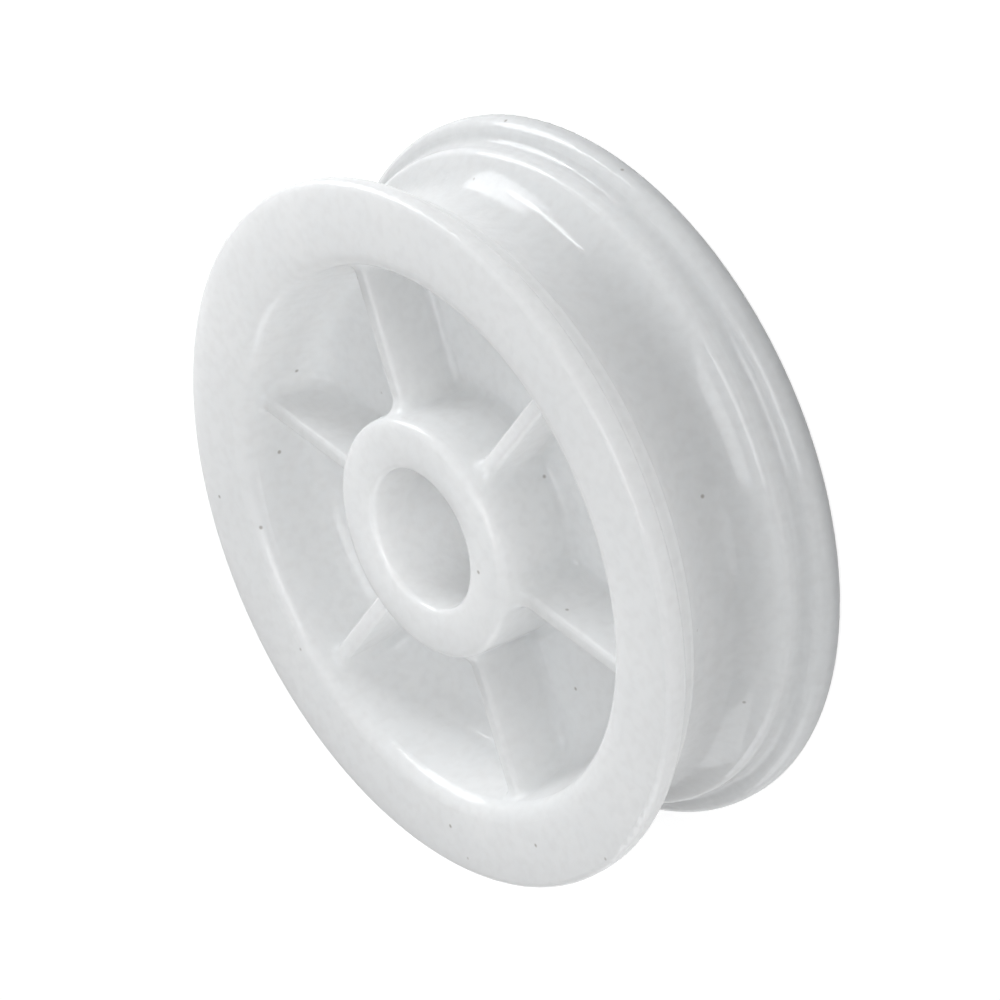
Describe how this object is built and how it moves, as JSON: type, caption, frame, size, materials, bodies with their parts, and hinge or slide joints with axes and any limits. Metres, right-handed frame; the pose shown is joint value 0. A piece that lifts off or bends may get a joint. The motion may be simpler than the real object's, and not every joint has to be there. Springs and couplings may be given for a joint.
{
  "type": "rope sheave",
  "caption": "Moulded one-piece rope sheave with stepped flanges, a round-bottomed groove, a plain bore, and radial ribs in a recess in each face.",
  "frame": {"origin": "middle of the bore, in the plane of the rope groove", "axes": "+Z along the bore; the sheave lies on its lower face and one rib of each face points along +X"},
  "size_m": [0.1, 0.1, 0.03],
  "materials": {
    "nylon": "satin natural white moulding"
  },
  "bodies": {
    "root": {"sheave": "nylon"}
  },
  "joints": []
}
